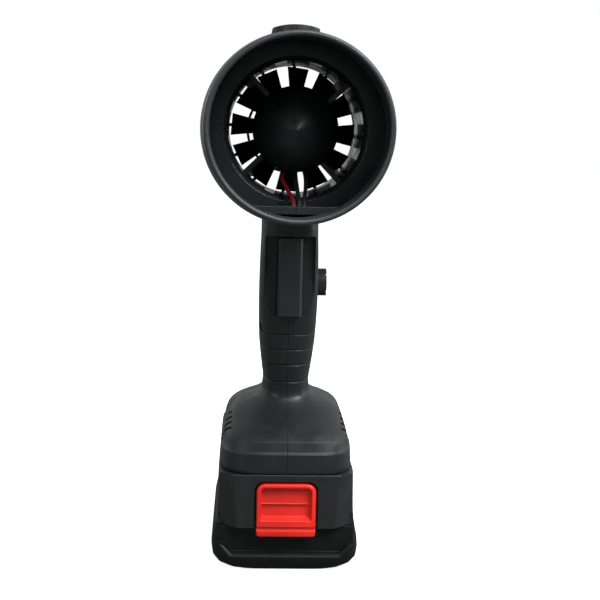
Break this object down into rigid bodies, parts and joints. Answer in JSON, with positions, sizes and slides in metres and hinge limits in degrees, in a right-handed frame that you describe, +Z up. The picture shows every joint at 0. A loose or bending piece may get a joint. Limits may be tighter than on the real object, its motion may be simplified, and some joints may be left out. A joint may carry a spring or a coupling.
{
  "type": "car dryer blower",
  "caption": "Cordless turbo blower for drying cars: ducted fan in a round barrel, pistol grip with trigger and lock button, slide-on battery with red latch.",
  "frame": {"origin": "middle of the base that the battery stands on", "axes": "+Z up, air leaves towards -Y, +X is on the right of a viewer who faces the nozzle"},
  "size_m": [0.09, 0.174, 0.2725],
  "materials": {
    "housing": "finely textured moulded ABS",
    "dark_plastic": "smooth dark nylon",
    "duct_plastic": "glossy glass-filled nylon",
    "button_plastic": "semi-gloss grey plastic",
    "pack_plastic": "textured ABS",
    "latch_red": "semi-gloss red plastic",
    "steel": "zinc plated",
    "aluminium": "plain",
    "brass": "plain",
    "copper": "enamelled copper wire",
    "board": "green solder mask",
    "component_dark": "moulded epoxy",
    "cell_wrap": "shrink sleeve",
    "wire_red": "silicone insulation",
    "wire_black": "silicone insulation",
    "wire_blue": "silicone insulation"
  },
  "bodies": {
    "body": {"left_shell": "housing", "right_shell": "housing", "nozzle_collar": "dark_plastic", "intake_grille": "dark_plastic", "fan_shroud": "duct_plastic", "tail_cone": "dark_plastic", "motor_base": "aluminium", "stator_core": "steel", "motor_windings": "copper", "front_bearing": "steel", "rear_bearing": "steel", "motor_screws": "steel", "motor_wire_red": "wire_red", "motor_wire_black": "wire_black", "motor_wire_blue": "wire_blue", "trigger_spring": "steel", "switch_body": "dark_plastic", "switch_terminals": "brass", "lock_spring": "steel", "control_board": "board", "power_transistors": "component_dark", "smoothing_capacitor": "component_dark", "heat_sink": "aluminium", "supply_wire_red": "wire_red", "supply_wire_black": "wire_black", "terminal_block": "dark_plastic", "terminal_blades": "brass", "shell_screws": "steel", "grille_screws": "steel"},
    "fan": {"motor_bell": "steel", "rotor_magnets": "steel", "motor_shaft": "steel", "shaft_collar": "brass", "fan_rotor": "duct_plastic", "rotor_nut": "steel", "spinner": "dark_plastic"},
    "trigger": {"trigger": "dark_plastic"},
    "lock_button": {"lock_button": "button_plastic"},
    "battery": {"battery_upper_case": "pack_plastic", "battery_lower_case": "pack_plastic", "battery_cells": "cell_wrap", "cell_strips": "steel", "battery_board": "board", "battery_contacts": "brass", "latch_spring": "steel", "battery_screws": "steel"},
    "latch": {"battery_latch": "latch_red"}
  },
  "joints": [
    {"name": "fan_spin", "type": "hinge", "parent": "body", "child": "fan", "pos_m": [0, 0, 0.223], "axis": [0, 1, 0], "continuous": true},
    {"name": "trigger_pull", "type": "slide", "parent": "body", "child": "trigger", "axis": [0, 1, 0], "range_m": [0, 0.0055], "stiffness_N_per_m": 500, "springref_m": -0.004, "deforming": ["trigger_spring"]},
    {"name": "lock_press", "type": "slide", "parent": "body", "child": "lock_button", "axis": [-1, 0, 0], "range_m": [0, 0.0024], "stiffness_N_per_m": 400, "springref_m": -0.003, "deforming": ["lock_spring"]},
    {"name": "battery_slide", "type": "slide", "parent": "body", "child": "battery", "axis": [0, -1, 0], "range_m": [0, 0.095]},
    {"name": "latch_press", "type": "slide", "parent": "battery", "child": "latch", "axis": [0, 0, -1], "range_m": [0, 0.004], "stiffness_N_per_m": 500, "springref_m": -0.004, "deforming": ["latch_spring"]}
  ]
}
